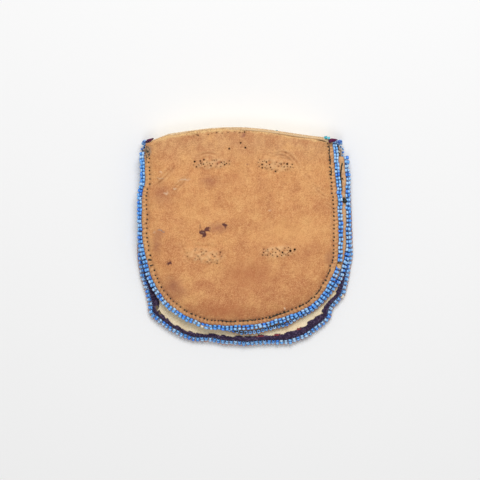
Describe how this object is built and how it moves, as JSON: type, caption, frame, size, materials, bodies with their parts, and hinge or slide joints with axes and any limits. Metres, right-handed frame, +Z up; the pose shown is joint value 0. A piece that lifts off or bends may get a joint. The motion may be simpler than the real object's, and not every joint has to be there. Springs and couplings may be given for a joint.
{
  "type": "beaded medicine bag",
  "caption": "Small U-shaped hide belt pouch with blue bead edging and a long fold-over flap bound in dark wool, seen from its plain back.",
  "frame": {"origin": "middle of the pouch's outline, on the surface that it lies on", "axes": "+X across the pouch, +Y from its rounded bottom to its folded top, +Z up through the plain back panel"},
  "size_m": [0.1084, 0.1094, 0.0118],
  "materials": {
    "tan_hide": "smoked hide with a soft suede face, creased and stained",
    "cream_hide": "pale brain-tanned hide, soft and unglazed",
    "dark_wool": "dense felted wool cloth with raw fuzzy edges",
    "blue_beads": "opaque glass seed beads, glossy",
    "turquoise_beads": "opaque glass seed beads, glossy"
  },
  "bodies": {
    "pouch": {"back_panel": "tan_hide", "front_panel": "tan_hide", "back_edge_beads": "blue_beads", "front_edge_beads": "blue_beads"},
    "flap": {"flap_hide": "cream_hide", "flap_wool_binding": "dark_wool", "flap_edge_beads": "blue_beads", "flap_bead_field": "turquoise_beads"}
  },
  "joints": [
    {"name": "flap_hinge", "type": "hinge", "parent": "pouch", "child": "flap", "pos_m": [0, 0.0534, 0.01197], "axis": [1, 0, 0], "range_deg": [0, 180]}
  ]
}
